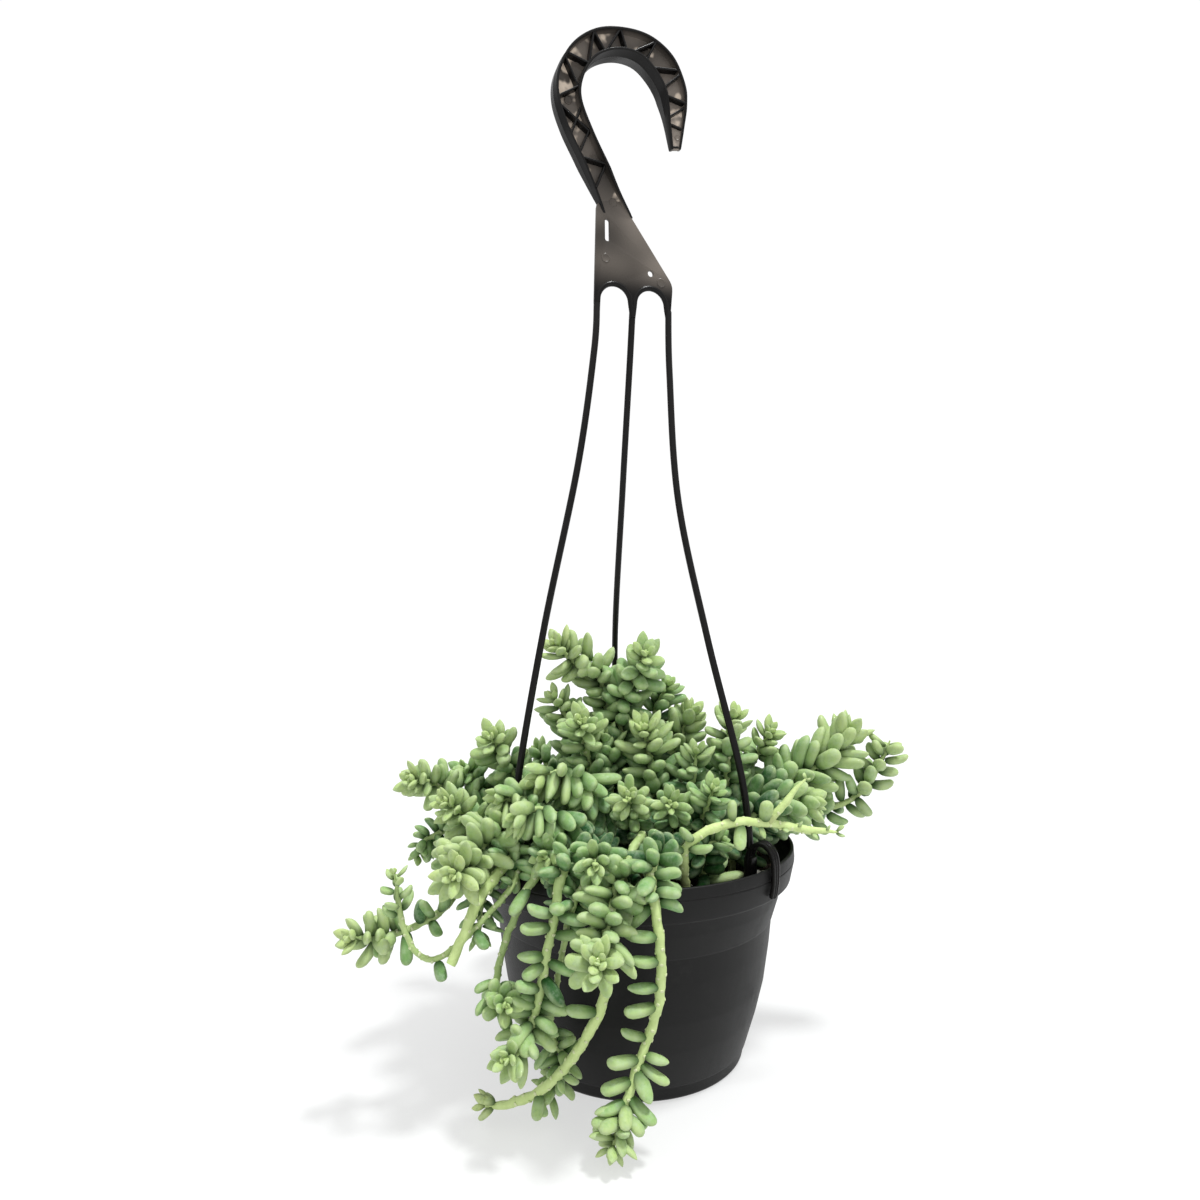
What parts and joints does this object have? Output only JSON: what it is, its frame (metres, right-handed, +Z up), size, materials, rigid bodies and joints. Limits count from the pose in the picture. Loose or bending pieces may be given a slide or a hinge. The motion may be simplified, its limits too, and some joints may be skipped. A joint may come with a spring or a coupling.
{
  "type": "potted burros tail plant",
  "caption": "Trailing succulent with plump bead-like leaves growing over the lip of a round hanging pot, with its three-wire hanger and hook.",
  "frame": {"origin": "centre of the pot's base, on the surface it stands on", "axes": "+Z up along the pot's axis towards the hook; -Y is the front, over which the longest shoot trails; +X is the right, with the bare stem"},
  "size_m": [0.2486, 0.2219, 0.4905],
  "materials": {
    "pot_plastic": "matt charcoal-black moulded plastic with a faint turned texture",
    "hanger_plastic": "satin black moulded plastic, brownish where it is thin and dented",
    "soil": "dark peat and bark potting mix with pale bits",
    "leaf": "plump pale blue-green leaf with a powdery bloom",
    "stem": "pale yellow-green fleshy stem with leaf scars",
    "perlite": "white crumbly perlite grain"
  },
  "bodies": {
    "root": {"hanger": "hanger_plastic", "perlite_1": "perlite", "perlite_2": "perlite", "perlite_3": "perlite", "pot": "pot_plastic", "shoot_back_far_left": "leaf", "shoot_back_far_right": "leaf", "shoot_back_inner_left": "leaf", "shoot_back_inner_right": "leaf", "shoot_back_left": "leaf", "shoot_back_low_left": "leaf", "shoot_back_low_right": "leaf", "shoot_back_middle": "leaf", "shoot_back_right": "leaf", "shoot_back_top": "leaf", "shoot_back_top_left": "leaf", "shoot_back_top_right": "leaf", "shoot_beads_front": "leaf", "shoot_beads_left": "leaf", "shoot_behind_right_wire": "leaf", "shoot_centre_front": "leaf", "shoot_centre_front_right": "leaf", "shoot_centre_right": "leaf", "shoot_centre_rosette": "leaf", "shoot_front_left_bare": "leaf", "shoot_front_left_leafy": "leaf", "shoot_front_rosette": "leaf", "shoot_front_trailing": "leaf", "shoot_front_twig": "leaf", "shoot_front_yellow": "stem", "shoot_left_bright": "leaf", "shoot_left_buds": "leaf", "shoot_left_cut": "leaf", "shoot_left_dark": "leaf", "shoot_left_dark_rosette": "leaf", "shoot_left_far_rosette": "leaf", "shoot_left_long_tail": "leaf", "shoot_left_low_dark": "leaf", "shoot_left_sprig": "leaf", "shoot_left_upper_rosette": "leaf", "shoot_right_back_tips": "leaf", "shoot_right_bare": "stem", "shoot_right_big_tail": "leaf", "shoot_right_inner": "leaf", "shoot_right_inner_low": "leaf", "shoot_right_middle": "leaf", "shoot_right_thin": "leaf", "shoot_rows_left": "leaf", "shoot_rows_lower": "leaf", "shoot_rows_upper": "leaf", "shoot_top_left_arm": "leaf", "shoot_top_light": "leaf", "shoot_top_right_big": "leaf", "shoot_top_right_low": "leaf", "shoot_upper_left": "leaf", "shoot_upper_left_face": "leaf", "shoot_upper_middle": "leaf", "soil": "soil"}
  },
  "joints": []
}
